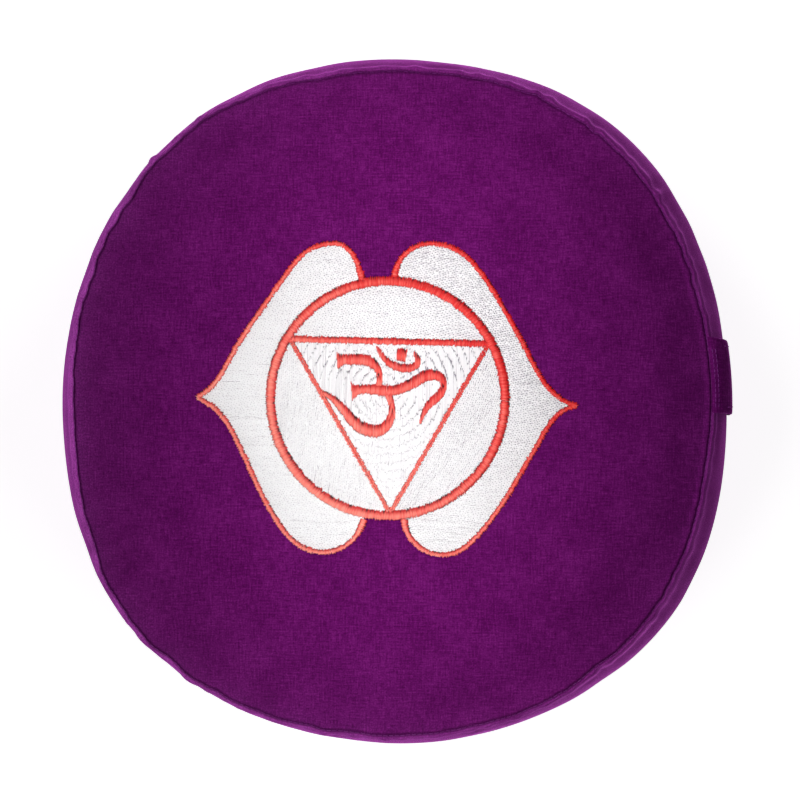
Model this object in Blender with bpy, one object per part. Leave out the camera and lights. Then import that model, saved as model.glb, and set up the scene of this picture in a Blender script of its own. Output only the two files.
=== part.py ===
"""Round sitting cushion: a filled cotton cushion with one carry strap on its side.

Metres, +Z up. The cushion stands on Z = 0 and the origin is the middle of the
underside of the whole object's box. Angles are in degrees, anticlockwise from +X
as seen from above. The strap is on the +X side.
"""

from collections import namedtuple
from math import cos, hypot, pi, radians, sin

import bmesh
import bpy
from mathutils import Vector

# Driving dimensions of the filled cushion.
CUSHION_WIDTH = 0.360  # along X at the waist, without the strap
CUSHION_DEPTH = 0.371  # along Y at the waist
CUSHION_HEIGHT = 0.150
WAIST_HEIGHT = 0.066  # the side band is widest here
TOP_SEAM_HEIGHT = 0.128
BASE_SEAM_HEIGHT = 0.011
BASE_SEAM_INSET = 0.0125  # how far the bottom seam lies inside the waist

# How full the cloth stands between its seams: 2 is an even curve, more is squarer.
CROWN_ROUNDNESS = 2.3
BAND_ROUNDNESS = 2.6

# The top seam is drawn in between the panel's edge and the band's folded lip.
GROOVE_DEPTH = 0.0026
LIP_WIDTH = 0.0024
LIP_RISE = 0.0004

# The carry strap is sewn into both seams and lies against the band.
STRAP_WIDTH = 0.038
STRAP_THICKNESS = 0.0024
STRAP_ANGLE = 4.2
STRAP_CLEARANCE = 0.00032
STRAP_EDGE_ROUND = 0.0006
STRAP_EDGE_LIFT = 0.0006  # its -Y edge curls off the band

RING_POINTS = 160

# The panels are cut round, but woven cloth gives most on the bias, so the filled
# cushion swells at its four diagonals.
Swell = namedtuple("Swell", "middle half_width rise")
BIAS_SWELLS = [
    Swell(47, 42, 0.0078),
    Swell(130, 42, 0.0046),
    Swell(221, 38, 0.0072),
    Swell(320, 40, 0.0080),
]

# How far the waist stands out beyond the top seam. The filling has slumped towards
# +X, so the band overhangs more on that side.
Overhang = namedtuple("Overhang", "angle inset")
OVERHANGS = [
    Overhang(0, 0.0128),
    Overhang(35, 0.0130),
    Overhang(65, 0.0104),
    Overhang(95, 0.0102),
    Overhang(130, 0.0078),
    Overhang(160, 0.0082),
    Overhang(185, 0.0104),
    Overhang(225, 0.0082),
    Overhang(250, 0.0074),
    Overhang(290, 0.0090),
    Overhang(325, 0.0134),
    Overhang(345, 0.0140),
]

# Puckers where the fuller band is eased into the top seam. Each draws the seam in,
# and its fold runs down the band to the waist.
Pucker = namedtuple("Pucker", "angle half_width at_seam at_waist")
PUCKERS = [
    Pucker(20, 4.0, 0.0012, 0.0000),
    Pucker(27, 3.5, 0.0013, 0.0002),
    Pucker(35, 4.5, 0.0014, 0.0003),
    Pucker(58, 5.5, 0.0012, 0.0003),
    Pucker(82, 5.0, 0.0006, 0.0002),
    Pucker(104, 5.5, 0.0008, 0.0004),
    Pucker(117, 4.5, 0.0010, 0.0005),
    Pucker(130.5, 5.0, 0.0016, 0.0015),
    Pucker(142, 5.0, 0.0022, 0.0018),
    Pucker(148, 4.0, 0.0010, 0.0007),
    Pucker(157, 5.0, 0.0009, 0.0005),
    Pucker(205, 6.0, 0.0016, 0.0008),
    Pucker(216, 4.0, 0.0012, 0.0006),
    Pucker(221.5, 3.5, 0.0014, 0.0010),
    Pucker(229, 4.5, 0.0020, 0.0014),
    Pucker(238, 5.0, 0.0009, 0.0004),
    Pucker(262, 6.0, 0.0009, 0.0003),
    Pucker(284, 6.0, 0.0006, 0.0002),
    Pucker(307, 5.0, 0.0014, 0.0003),
    Pucker(329, 5.0, 0.0008, 0.0002),
]
BASE_PUCKER_SHARE = 0.5  # the bottom seam is eased in the same places, less deeply

# The bottom panel from its seam to where it lies flat, pressed by the weight above.
Turn = namedtuple("Turn", "inset height")
BASE_TURN = [
    Turn(0.0144, 0.0100),  # drawn into the seam
    Turn(0.0146, 0.0072),
    Turn(0.0185, 0.0036),
    Turn(0.0245, 0.0012),
    Turn(0.0330, 0.0000),
]
BASE_FLAT_SHARES = [0.66, 0.33]  # rings across the flat, as shares of its radius

# Rings of the top panel, as shares of the seam's radius.
PANEL_SHARES = [0.12, 0.24, 0.36, 0.48, 0.59, 0.69, 0.78, 0.86, 0.925, 0.965, 0.985]
PUCKERED_PANEL_SHARE = 0.80  # inside this the panel is smooth
BAND_RINGS = 13
BAND_END_ANGLE = 66  # the band's first ring, as the angle of a sine

# One ring of the skin. Its radius is share * (plan radius - inset - overhang * the
# overhang there), less what the puckers draw in at the seam and at the waist.
Ring = namedtuple("Ring", "share inset overhang height at_seam at_waist")
WAIST = Ring(1.0, 0.0, 0.0, WAIST_HEIGHT, 0.0, 1.0)

COTTON_PURPLE = (0.120, 0.009, 0.106, 1.0)


def bell(distance, half_width):
    """A smooth bump: 1 in the middle, 0 from half_width on."""
    if abs(distance) >= half_width:
        return 0.0
    return cos(pi / 2 * distance / half_width) ** 2


def turn_between(angle, middle):
    """The way round from one angle to another, from -180 to 180 degrees."""
    return (angle - middle + 180) % 360 - 180


def plan_radius(angle):
    """Distance from the middle to the waist: an ellipse that swells on the bias."""
    half_width, half_depth = CUSHION_WIDTH / 2, CUSHION_DEPTH / 2
    across = hypot(half_depth * cos(radians(angle)), half_width * sin(radians(angle)))
    radius = half_width * half_depth / across
    for swell in BIAS_SWELLS:
        radius += swell.rise * bell(turn_between(angle, swell.middle), swell.half_width)
    return radius


def overhang(angle):
    """How far the top seam lies inside the waist, eased from each row to the next."""
    for here, after in zip(OVERHANGS, [*OVERHANGS[1:], OVERHANGS[0]]):
        gap = (after.angle - here.angle) % 360
        past = (angle - here.angle) % 360
        if past < gap:
            return after.inset + (here.inset - after.inset) * bell(past, gap)
    raise ValueError("the rows don't go all the way round")


def pucker_depths(angle):
    """How far the puckers draw the cloth in here, at the seam and at the waist."""
    at_seam = at_waist = 0.0
    for pucker in PUCKERS:
        share = bell(turn_between(angle, pucker.angle), pucker.half_width)
        at_seam += pucker.at_seam * share
        at_waist += pucker.at_waist * share
    return at_seam, at_waist


def panel_rings():
    crown = CUSHION_HEIGHT - TOP_SEAM_HEIGHT
    for share in PANEL_SHARES:
        height = TOP_SEAM_HEIGHT + crown * (1 - share**CROWN_ROUNDNESS)
        puckered = max(0.0, share - PUCKERED_PANEL_SHARE) / (1 - PUCKERED_PANEL_SHARE)
        yield Ring(share, 0.0, 1.0, height, puckered, 0.0)
    yield Ring(1.0, 0.0, 1.0, TOP_SEAM_HEIGHT - GROOVE_DEPTH, 1.0, 0.0)


def band_rings():
    yield Ring(1.0, -LIP_WIDTH, 1.0, TOP_SEAM_HEIGHT + LIP_RISE, 1.0, 0.0)
    for step in range(BAND_RINGS):
        turn = BAND_END_ANGLE * (1 - 2 * step / (BAND_RINGS - 1))
        level = sin(radians(turn))  # 1 at the top seam, 0 at the waist, -1 at the base
        drawn_in = abs(level) ** BAND_ROUNDNESS
        if level > 0:
            height = WAIST_HEIGHT + level * (TOP_SEAM_HEIGHT - WAIST_HEIGHT)
            yield Ring(1.0, 0.0, drawn_in, height, level, 1 - level)
        else:
            height = WAIST_HEIGHT + level * (WAIST_HEIGHT - BASE_SEAM_HEIGHT)
            inset = BASE_SEAM_INSET * drawn_in
            yield Ring(1.0, inset, 0.0, height, -level * BASE_PUCKER_SHARE, 1 + level)
    yield Ring(1.0, BASE_SEAM_INSET, 0.0, BASE_SEAM_HEIGHT, BASE_PUCKER_SHARE, 0.0)


def base_rings():
    for turn in BASE_TURN:
        puckered = BASE_PUCKER_SHARE * turn.height / BASE_SEAM_HEIGHT
        yield Ring(1.0, turn.inset, 0.0, turn.height, puckered, 0.0)
    for share in BASE_FLAT_SHARES:
        yield Ring(share, BASE_TURN[-1].inset, 0.0, BASE_TURN[-1].height, 0.0, 0.0)


def skin_point(angle, ring):
    """The point of the cushion's skin on this ring, in this direction."""
    at_seam, at_waist = pucker_depths(angle)
    radius = ring.share * (plan_radius(angle) - ring.inset - ring.overhang * overhang(angle))
    radius -= at_seam * ring.at_seam + at_waist * ring.at_waist
    return Vector((radius * cos(radians(angle)), radius * sin(radians(angle)), ring.height))


def new_object(name, mesh, material):
    mesh.materials.append(material)
    mesh.shade_smooth()
    obj = bpy.data.objects.new(name, mesh)
    bpy.context.scene.collection.objects.link(obj)
    return obj


def cotton(name, colour, roughness):
    material = bpy.data.materials.new(name)
    material.use_nodes = True
    shader = material.node_tree.nodes["Principled BSDF"]
    shader.inputs["Base Color"].default_value = colour
    shader.inputs["Roughness"].default_value = roughness
    shader.inputs["Metallic"].default_value = 0.0
    return material


def skin_between(form, loops):
    """Quads between each two neighbouring loops of vertices, all the way round."""
    for upper, lower in zip(loops, loops[1:]):
        for here in range(len(upper)):
            after = (here + 1) % len(upper)
            form.faces.new((upper[here], lower[here], lower[after], upper[after]))


def make_cushion():
    """One filled solid. Its skin is the top panel, the side band and the bottom panel."""
    form = bmesh.new()
    angles = [360 * step / RING_POINTS for step in range(RING_POINTS)]
    loops = []
    for ring in [*panel_rings(), *band_rings(), *base_rings()]:
        loops.append([form.verts.new(skin_point(angle, ring)) for angle in angles])
    skin_between(form, loops)
    top_middle = form.verts.new((0.0, 0.0, CUSHION_HEIGHT))
    base_middle = form.verts.new((0.0, 0.0, BASE_TURN[-1].height))
    for here in range(RING_POINTS):
        after = (here + 1) % RING_POINTS
        form.faces.new((top_middle, loops[0][here], loops[0][after]))
        form.faces.new((base_middle, loops[-1][after], loops[-1][here]))
    mesh = bpy.data.meshes.new("cushion")
    form.to_mesh(mesh)
    form.free()
    return new_object("cushion", mesh, cotton("purple_cotton", COTTON_PURPLE, 0.9))


def strap_half_turn():
    """Half the angle that the strap's width takes at the waist."""
    return STRAP_WIDTH / CUSHION_WIDTH * 180 / pi


def strap_directions():
    """Which way the strap faces, and the way across it, level with the waist."""
    half_turn = strap_half_turn()
    across = skin_point(STRAP_ANGLE + half_turn, WAIST) - skin_point(STRAP_ANGLE - half_turn, WAIST)
    across.normalize()
    return Vector((across.y, -across.x, 0.0)), across


def strap_path(facing):
    """(distance, height) of the band's highest line under the strap, seam to seam."""
    path = []
    for ring in band_rings():
        angles = [STRAP_ANGLE + strap_half_turn() * share for share in (-1, -0.5, 0, 0.5, 1)]
        reach = max(skin_point(angle, ring).dot(facing) for angle in angles)
        path.append(Vector((reach, ring.height)))
    return path


def outward_normals(path):
    """At each point of the path, the direction away from the cushion."""
    normals = []
    for index in range(len(path)):
        before, after = path[max(index - 1, 0)], path[min(index + 1, len(path) - 1)]
        down = (after - before).normalized()
        normals.append(Vector((-down.y, down.x)))
    return normals


def strap_outline():
    """Points round the strap's section, inner face first: (across, share of thickness)."""
    half = STRAP_WIDTH / 2
    face = [-half + STRAP_EDGE_ROUND, -half / 2, 0.0, half / 2, half - STRAP_EDGE_ROUND]
    inner = [(across, 0.0) for across in face]
    outer = [(across, 1.0) for across in reversed(face)]
    return [*inner, (half, 0.25), (half, 0.75), *outer, (-half, 0.75), (-half, 0.25)]


def make_strap():
    """Folded cotton, straight across and bent over the band from seam to seam."""
    facing, across = strap_directions()
    middle = skin_point(STRAP_ANGLE, WAIST).dot(across)
    path = strap_path(facing)
    form = bmesh.new()
    loops = []
    for place, normal in zip(path, outward_normals(path)):
        mid_band = bell(place.y - WAIST_HEIGHT, TOP_SEAM_HEIGHT - WAIST_HEIGHT)
        loop = []
        for side, share in strap_outline():
            curl = STRAP_EDGE_LIFT * mid_band * max(0.0, -side / (STRAP_WIDTH / 2)) ** 3
            spot = place + normal * (STRAP_CLEARANCE + share * STRAP_THICKNESS + curl)
            level = facing * spot.x + across * (middle + side)
            loop.append(form.verts.new((level.x, level.y, spot.y)))
        loops.append(loop)
    skin_between(form, loops)
    form.faces.new(loops[0])
    form.faces.new(reversed(loops[-1]))
    bmesh.ops.recalc_face_normals(form, faces=form.faces)
    mesh = bpy.data.meshes.new("carry_strap")
    form.to_mesh(mesh)
    form.free()
    return new_object("carry_strap", mesh, cotton("purple_strap_cotton", COTTON_PURPLE, 0.85))


def centre_on_origin(objects):
    """Puts the middle of the whole box's underside at the origin."""
    points = [vertex.co for obj in objects for vertex in obj.data.vertices]
    middle_x = (max(point.x for point in points) + min(point.x for point in points)) / 2
    middle_y = (max(point.y for point in points) + min(point.y for point in points)) / 2
    for point in points:
        point.x -= middle_x
        point.y -= middle_y


for leftover in list(bpy.data.objects):
    bpy.data.objects.remove(leftover)
centre_on_origin([make_cushion(), make_strap()])
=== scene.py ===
"""A round sitting cushion of purple cotton, with an embroidered emblem and one carry strap.

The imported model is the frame. Each section below makes one piece, in the order in which
the cushion is put together. Metres, +Z up, the emblem's top towards +Y, the strap at +X.
"""

import math
from collections import namedtuple

import bpy
import numpy as np
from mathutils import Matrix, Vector
from mathutils.bvhtree import BVHTree


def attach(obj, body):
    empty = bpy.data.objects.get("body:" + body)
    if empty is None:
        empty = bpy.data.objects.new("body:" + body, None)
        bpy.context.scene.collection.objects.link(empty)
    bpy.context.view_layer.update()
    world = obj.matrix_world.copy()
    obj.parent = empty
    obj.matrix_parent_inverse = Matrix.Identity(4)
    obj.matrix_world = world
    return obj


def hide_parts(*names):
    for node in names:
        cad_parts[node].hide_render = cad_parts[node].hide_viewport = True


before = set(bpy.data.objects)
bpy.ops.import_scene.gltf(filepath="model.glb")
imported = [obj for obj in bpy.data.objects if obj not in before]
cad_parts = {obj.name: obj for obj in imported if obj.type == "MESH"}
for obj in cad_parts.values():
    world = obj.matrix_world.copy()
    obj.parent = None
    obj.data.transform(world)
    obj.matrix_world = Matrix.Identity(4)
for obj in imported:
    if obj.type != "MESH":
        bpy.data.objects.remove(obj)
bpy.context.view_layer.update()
scene = bpy.context.scene


# The view. The photograph looks straight down from 1.5 m above the floor, over the middle
# of the cushion or nearly so, through a long lens.

CAMERA_PLACE = (0.0011, 0.00055, 1.5)
CAMERA_LENS = 117.4
CAMERA_SENSOR = 36.0

camera = bpy.data.objects.new("camera", bpy.data.cameras.new("camera"))
camera.location = CAMERA_PLACE
camera.data.lens = CAMERA_LENS
camera.data.sensor_width = CAMERA_SENSOR
camera.data.dof.use_dof = False
scene.collection.objects.link(camera)
scene.camera = camera
scene.view_settings.view_transform = "Standard"


# The studio. The cushion stands on a white acrylic table lit from below, so that the ground
# burns out, in a round white room with a window at its left and a dark ceiling. A strip
# light hangs low over the cushion's middle and lights the top panel more than its rim.

FLOOR_SIZE = 8.0
FLOOR_DROP = 0.0002
FLOOR_GLOW = 0.90
STRIP_PLACE = (0.004, 0.020, 0.36)
STRIP_WIDTH = 0.05
STRIP_LENGTH = 0.60
STRIP_WATTS = 1.2
WINDOW_LIGHT = 6.0
FAR_WALL_LIGHT = 0.8
CEILING_SHARE = 0.02
WALL_TOP = 0.2  # how far up the round wall is bright, as the sine of its height


def linear(hex_colour):
    """An sRGB hex colour such as "6a1c63" as linear red, green, blue and alpha."""
    shares = [int(hex_colour[place : place + 2], 16) / 255 for place in (0, 2, 4)]
    return [s / 12.92 if s <= 0.04045 else ((s + 0.055) / 1.055) ** 2.4 for s in shares] + [1.0]


def set_inputs(node, values):
    for name, value in dict(values).items():
        node.inputs[name].default_value = value


def add_node(tree, kind, settings=(), inputs=(), links=()):
    """A new node with its settings, its input values and its links, each from a socket of
    another node, or from the node itself where its first socket is meant."""
    node = tree.nodes.new("ShaderNode" + kind)
    for name, value in dict(settings).items():
        setattr(node, name, value)
    set_inputs(node, inputs)
    for name, source in dict(links).items():
        tree.links.new(getattr(source, "outputs", [source])[0], node.inputs[name])
    return node


# Opal acrylic: a white sheet with no grain at all, softly shining from the lamps under it.
opal_acrylic = bpy.data.materials.new("opal_acrylic_table")
opal_acrylic.use_nodes = True
opal_look = {
    "Base Color": linear("d0d4d2"),
    "Roughness": 0.8,
    "Specular IOR Level": 0.1,
    "Emission Color": linear("fffeff"),
    "Emission Strength": FLOOR_GLOW,
}
set_inputs(opal_acrylic.node_tree.nodes["Principled BSDF"], opal_look)

bpy.ops.object.select_all(action="DESELECT")
bpy.ops.mesh.primitive_plane_add(size=FLOOR_SIZE, location=(0, 0, -FLOOR_DROP))
floor = bpy.context.object
floor.name = "floor"
floor.data.materials.append(opal_acrylic)

room = bpy.data.worlds.new("white_room")
room.use_nodes = True
tree = room.node_tree
way = add_node(tree, "TexCoord")
up = add_node(tree, "SeparateXYZ", links={"Vector": way.outputs["Generated"]})
wall_shares = {"From Max": WALL_TOP, "To Min": 1.0, "To Max": CEILING_SHARE}
smooth = {"interpolation_type": "SMOOTHSTEP"}
wall = add_node(tree, "MapRange", smooth, wall_shares, {"Value": up.outputs["Z"]})
window_shares = {"From Min": -1.0, "To Min": WINDOW_LIGHT, "To Max": FAR_WALL_LIGHT}
window = add_node(tree, "MapRange", (), window_shares, {"Value": up.outputs["X"]})
light = add_node(tree, "Math", {"operation": "MULTIPLY"}, links={0: wall, 1: window})
tree.links.new(light.outputs["Value"], tree.nodes["Background"].inputs["Strength"])
set_inputs(tree.nodes["Background"], {"Color": linear("ffffff")})
scene.world = room

strip = bpy.data.objects.new("strip_light", bpy.data.lights.new("strip_light", "AREA"))
strip.data.shape = "RECTANGLE"
strip.data.size = STRIP_WIDTH
strip.data.size_y = STRIP_LENGTH
strip.data.energy = STRIP_WATTS
strip.location = STRIP_PLACE
strip.visible_camera = False
scene.collection.objects.link(strip)


# The cover. Plain-weave cotton in three cuts, a round top, a round bottom and one long
# band between them, sewn right sides together, turned out and filled tight with hulls.
# The cloth is let swell a little under the pressure of the filling, held at its seams.

TOP_SEAM_HEIGHT = 0.128
GROOVE_FLOOR = 0.1254  # the cloth dives this low where panel and band meet
LIP_HEIGHT = 0.1284
BASE_SEAM_HEIGHT = 0.011
BASE_GROOVE_FLOOR = 0.0100
SAME_HEIGHT = 0.00006
WELD_GAP = 0.00001
RESTS_BELOW = 0.0005  # what is lower than this rests on the floor, and lies in no ring
UNDERSIDE_ROW = 9.0
UNDERSIDE_BASE_ROW = 4.0
ON_ROW = 0.01  # a point this near to a row's number is in that row
HELD_ROWS = 1.1
FILL_START_INSET = 0.0032  # the cloth starts this far inside its filled form
FILLED_COTTON = {
    "quality": 6,
    "mass": 0.15,
    "tension_stiffness": 12,
    "compression_stiffness": 12,
    "shear_stiffness": 6,
    "bending_stiffness": 0.15,
    "use_pressure": True,
    "uniform_pressure_force": 4.0,
    "shrink_min": -0.022,  # the cut is this much larger than the form, as eased cloth is
}
FILL_FRAMES = 20
BAND_CAP = 0.0030  # the most that the swelling may move the band
PANEL_CAP = 0.0011
CALM_RADIUS = 0.095  # inside this the top panel is drawn flat by its embroidery
CALM_FADE = 0.05
SEAM_INSIDE_WAIST = 0.012
SEAM_HOLD = 0.004  # the swelling fades out this close to a seam
SEAM_FREE = 0.014
LEAST_WEIGHT = 0.001


def points_of(mesh, what="co"):
    flat = np.empty(len(mesh.vertices) * 3)
    mesh.vertices.foreach_get(what, flat)
    return flat.reshape(-1, 3)


def move_points(mesh, points):
    mesh.vertices.foreach_set("co", points.ravel())
    mesh.update()


def attribute_of(mesh, name):
    values = np.empty(len(mesh.vertices))
    mesh.attributes[name].data.foreach_get("value", values)
    return values


def set_attribute(mesh, name, values):
    mesh.attributes.new(name, "FLOAT", "POINT").data.foreach_set("value", values)


def make_active(obj):
    bpy.ops.object.select_all(action="DESELECT")
    bpy.context.view_layer.objects.active = obj
    obj.select_set(True)


def subdivide(obj):
    make_active(obj)
    rounding = obj.modifiers.new("rounding", "SUBSURF")
    rounding.levels = rounding.render_levels = 1
    bpy.ops.object.modifier_apply(modifier=rounding.name)


def ease(share):
    """0 to 1 with level ends, for a number or an array."""
    share = np.clip(share, 0.0, 1.0)
    return share * share * (3 - 2 * share)


def settle_as_cloth(obj, held, settings, frames, gravity):
    """Lets a piece move as cloth for some frames, with some of its points held."""
    sewn = obj.vertex_groups.new(name="sewn")
    sewn.add(np.nonzero(held)[0].tolist(), 1.0, "REPLACE")
    cloth = obj.modifiers.new("cloth", "CLOTH")
    for name, value in settings.items():
        setattr(cloth.settings, name, value)
    cloth.settings.vertex_group_mass = sewn.name
    cloth.settings.effector_weights.gravity = gravity
    cloth.collision_settings.use_collision = False
    cloth.point_cache.frame_start = 1
    cloth.point_cache.frame_end = frames
    for step in range(1, frames + 1):
        scene.frame_set(step)
    make_active(obj)
    bpy.ops.object.modifier_apply(modifier=cloth.name)
    scene.frame_set(1)
    obj.vertex_groups.clear()


cover = bpy.data.objects.new("cover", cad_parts["cushion"].data.copy())
scene.collection.objects.link(cover)
make_active(cover)
bpy.ops.object.mode_set(mode="EDIT")
bpy.ops.mesh.select_all(action="SELECT")
bpy.ops.mesh.remove_doubles(threshold=WELD_GAP)
bpy.ops.mesh.tris_convert_to_quads(
    face_threshold=math.radians(60), shape_threshold=math.radians(180)
)
bpy.ops.object.mode_set(mode="OBJECT")

# Each ring of points gets a number counted from the seam's floor, outwards from the panel:
# subdividing then shares the numbers out between the rings.
heights = points_of(cover.data)[:, 2]
ring_heights = sorted(set(np.round(heights[heights > RESTS_BELOW], 5)), reverse=True)
panel_rings = [h for h in ring_heights if h > LIP_HEIGHT + SAME_HEIGHT]
ring_order = panel_rings + [GROOVE_FLOOR, LIP_HEIGHT]
ring_order += [h for h in ring_heights if h < GROOVE_FLOOR - SAME_HEIGHT]
top_rows = np.full(len(heights), UNDERSIDE_ROW)
for number, height in enumerate(ring_order):
    top_rows[abs(heights - height) < SAME_HEIGHT] = number - len(panel_rings)
base_floor = np.argmin(abs(np.array(ring_order) - BASE_GROOVE_FLOOR)) - len(panel_rings)
base_rows = top_rows - base_floor
base_rows[heights < RESTS_BELOW] = UNDERSIDE_BASE_ROW
set_attribute(cover.data, "top_row", top_rows)
set_attribute(cover.data, "base_row", base_rows)

subdivide(cover)
filled = points_of(cover.data)
outwards = points_of(cover.data, "normal")
radius = np.hypot(filled[:, 0], filled[:, 1])
on_seam = abs(attribute_of(cover.data, "top_row")) < HELD_ROWS
on_seam |= attribute_of(cover.data, "base_row") > -0.1

move_points(cover.data, filled - outwards * FILL_START_INSET * ~on_seam[:, None])
settle_as_cloth(cover, on_seam, FILLED_COTTON, FILL_FRAMES, gravity=0.0)
swelling = ((points_of(cover.data) - filled) * outwards).sum(axis=1)
panel = filled[:, 2] > TOP_SEAM_HEIGHT
to_seam = np.minimum(abs(filled[:, 2] - TOP_SEAM_HEIGHT), abs(filled[:, 2] - BASE_SEAM_HEIGHT))
to_seam[panel] = (radius.max() - SEAM_INSIDE_WAIST - radius[panel]).clip(0)
free = ease((to_seam - SEAM_HOLD) / (SEAM_FREE - SEAM_HOLD))
free[panel] *= ease((radius[panel] - CALM_RADIUS) / CALM_FADE)
cap = np.where(panel, PANEL_CAP, BAND_CAP)
for part in (panel, ~panel & ~on_seam):
    swelling[part] -= np.average(swelling[part], weights=free[part] + LEAST_WEIGHT)
swelling = cap * np.tanh(swelling / cap) * free
move_points(cover.data, filled + outwards * swelling[:, None])

subdivide(cover)


# The hand-guided seam runs a little inside or outside the cut's true round, and the filling
# pushes the band out unevenly, most beside the strap. Degrees round from +X, metres outwards.
SEAM_RUNS_OUT = [
    (-180, -0.0005), (-140, 0.0008), (-90, -0.0008), (-75, 0.0007), (-55, -0.0012),
    (-25, -0.0008), (0, 0.0006), (25, 0.0), (50, -0.0022), (80, -0.0007), (100, -0.0016),
    (125, -0.0008), (180, -0.0005),
]
BAND_BULGES = [
    (-180, -0.0003), (-140, 0.0010), (-125, 0.0), (-95, 0.0), (-75, 0.0015), (-55, 0.0008),
    (-35, 0.0019), (-15, 0.0012), (0, 0.0003), (20, 0.0014), (60, 0.0014), (75, 0.0),
    (180, -0.0003),
]
WAIST_FADE = 0.04  # from a seam to where the band bulges in full
SEAM_FADE_ROWS = 6
LEAST_RADIUS = 0.1


def angles_of(points):
    return np.arctan2(points[:, 1], points[:, 0])


def all_round(angles, table):
    """What a table of degrees and values gives at each angle round the cushion."""
    return np.interp(np.degrees(angles), *zip(*table))


settled = points_of(cover.data)
angles = angles_of(settled)
at_waist = ease((TOP_SEAM_HEIGHT - settled[:, 2]) / WAIST_FADE) * ease(settled[:, 2] / WAIST_FADE)
by_seam = ease(1 - abs(attribute_of(cover.data, "top_row")) / SEAM_FADE_ROWS)
moved = all_round(angles, BAND_BULGES) * at_waist + all_round(angles, SEAM_RUNS_OUT) * by_seam
reach = np.maximum(np.hypot(settled[:, 0], settled[:, 1]), LEAST_RADIUS)
settled[:, :2] *= (1 + moved / reach)[:, None]
move_points(cover.data, settled)


# How the cloth turns into a seam, at each row of points: the row, how far it lies across the
# seam from the seam's line, outwards, and how far up from the seam's height.
TOP_SEAM = [
    (-1.50, -0.0047, 0.00130),
    (-1.00, -0.0031, 0.00085),
    (-0.75, -0.0022, 0.00055),
    (-0.50, -0.0015, 0.00015),
    (-0.25, -0.0010, -0.00070),
    (0.00, -0.0004, -0.00240),
    (0.25, -0.0001, -0.00120),
    (0.50, 0.0002, 0.00030),
    (0.75, 0.0006, 0.00080),
    (1.00, 0.0011, 0.00040),
    (1.25, 0.0016, -0.00050),
    (1.50, 0.0022, -0.00170),
    (2.00, 0.0034, -0.00480),
]
BASE_SEAM = [
    (-1.50, 0.0030, 0.00260),
    (-1.00, 0.0022, 0.00110),
    (-0.50, 0.0016, 0.00030),
    (-0.25, 0.0009, -0.00020),
    (0.00, -0.0008, -0.00100),
    (0.25, 0.0002, -0.00200),
    (0.50, 0.0004, -0.00290),
    (1.00, -0.0010, -0.00480),
    (1.50, -0.0040, -0.00740),
]
SEAM_BLEND_ROWS = 0.75
# How unevenly the seam runs and how deep it dives, in degrees round from +X and shares.
WANDER_ROUND = [
    (-180, 0.5), (-150, 0.8), (-120, 0.8), (-80, 0.4), (-50, 0.8), (-12, 0.7), (-4, 0.2),
    (12, 0.2), (22, 1.2), (65, 1.2), (90, 0.5), (115, 0.9), (165, 0.9), (180, 0.5),
]
DEPTH_ROUND = [
    (-180, 0.65), (-150, 0.7), (-115, 1.0), (-90, 0.9), (-60, 1.0), (-40, 1.0), (-20, 0.65),
    (15, 0.6), (60, 0.7), (90, 1.0), (125, 1.0), (155, 0.8), (180, 0.65),
]
SEAM_WANDER = 0.0009
PANEL_GATHER = 0.0004
PANEL_GATHER_ROWS = 3.5
BAND_GATHER = 0.0014
BAND_GATHER_ROWS = 6


def gathers(count_low, count_high, angles, seed, fall=1.0):
    """An uneven wave round the cushion, between about -1 and 1: the cloth is eased by hand
    as it is fed to the needle, so the seam wanders and the cloth beside it gathers. A
    smaller fall gives more of the short waves."""
    chance = np.random.default_rng(seed)
    counts = np.arange(count_low, count_high)
    sizes = chance.normal(0, 1, len(counts)) * (count_low / counts) ** fall
    phases = chance.uniform(0, 2 * math.pi, len(counts))
    wave = (sizes * np.cos(angles[:, None] * counts + phases)).sum(axis=1)
    return wave / np.abs(wave).max()


def turn_in_seam(obj, rows_name, section, seam_height):
    """Folds the rows of points beside a seam into it. The section's ends blend out."""
    points = points_of(obj.data)
    rows = attribute_of(obj.data, rows_name)
    angles = angles_of(points)
    reach = np.hypot(points[:, 0], points[:, 1])
    line = np.nonzero(abs(rows) < ON_ROW)[0]
    line = line[np.argsort(angles[line])]
    line_radius = np.interp(angles, angles[line], reach[line], period=2 * math.pi)
    at, acrosses, rises = np.array(section).T
    near = (rows > at[0]) & (rows < at[-1])
    unevenness = all_round(angles, WANDER_ROUND) * gathers(30, 150, angles, seed=5, fall=0.6)
    across = np.interp(rows, at, acrosses) + SEAM_WANDER * unevenness
    height = np.interp(rows, at, rises) * all_round(angles, DEPTH_ROUND)
    held = ease((rows - at[0]) / SEAM_BLEND_ROWS) * ease((at[-1] - rows) / SEAM_BLEND_ROWS)
    stretch = 1 + ((line_radius + across) / np.maximum(reach, 0.001) - 1) * held
    points[near, :2] *= stretch[near, None]
    points[near, 2] += ((seam_height + height - points[:, 2]) * held)[near]
    move_points(obj.data, points)


turn_in_seam(cover, "top_row", TOP_SEAM, TOP_SEAM_HEIGHT)
turn_in_seam(cover, "base_row", BASE_SEAM, BASE_SEAM_HEIGHT)

# Small gathers beside the top seam, in the panel and, longer and deeper, in the band.
settled = points_of(cover.data)
angles = angles_of(settled)
top_rows = attribute_of(cover.data, "top_row")
in_panel = top_rows < 0
from_seam = np.where(in_panel, -top_rows / PANEL_GATHER_ROWS, top_rows / BAND_GATHER_ROWS)
depth = np.where(in_panel, PANEL_GATHER, BAND_GATHER) * ease(from_seam * 5) * ease(1 - from_seam)
wave = gathers(50, 150, angles, seed=11) * all_round(angles, WANDER_ROUND)
outwards = points_of(cover.data, "normal")
move_points(cover.data, settled + outwards * (depth * wave)[:, None])
cover.data.shade_smooth()

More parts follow.
